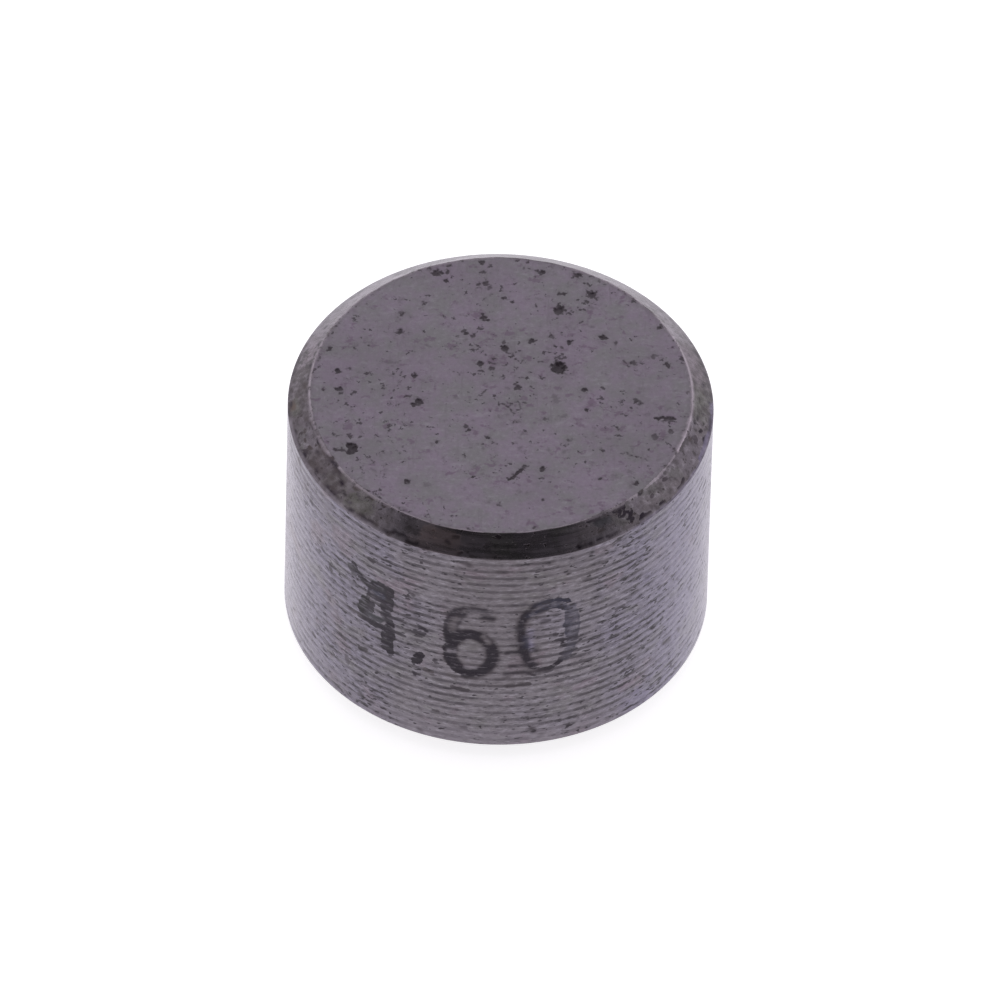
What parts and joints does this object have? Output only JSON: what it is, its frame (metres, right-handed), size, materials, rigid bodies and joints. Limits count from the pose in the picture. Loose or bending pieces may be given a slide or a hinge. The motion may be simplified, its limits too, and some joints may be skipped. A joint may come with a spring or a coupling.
{
  "type": "valve shim",
  "caption": "Thick round steel valve shim with chamfered rims and a finely turned side, used to set the clearance between a valve stem and its follower.",
  "frame": {"origin": "centre of the lower end face", "axes": "+Z along the shim's axis, through its thickness; the worn size mark on the side faces -Y"},
  "size_m": [0.0065, 0.0064, 0.0046],
  "materials": {
    "turned_steel": "dull grey steel, finely turned side, pitted flat ends"
  },
  "bodies": {
    "root": {"valve_shim": "turned_steel"}
  },
  "joints": []
}
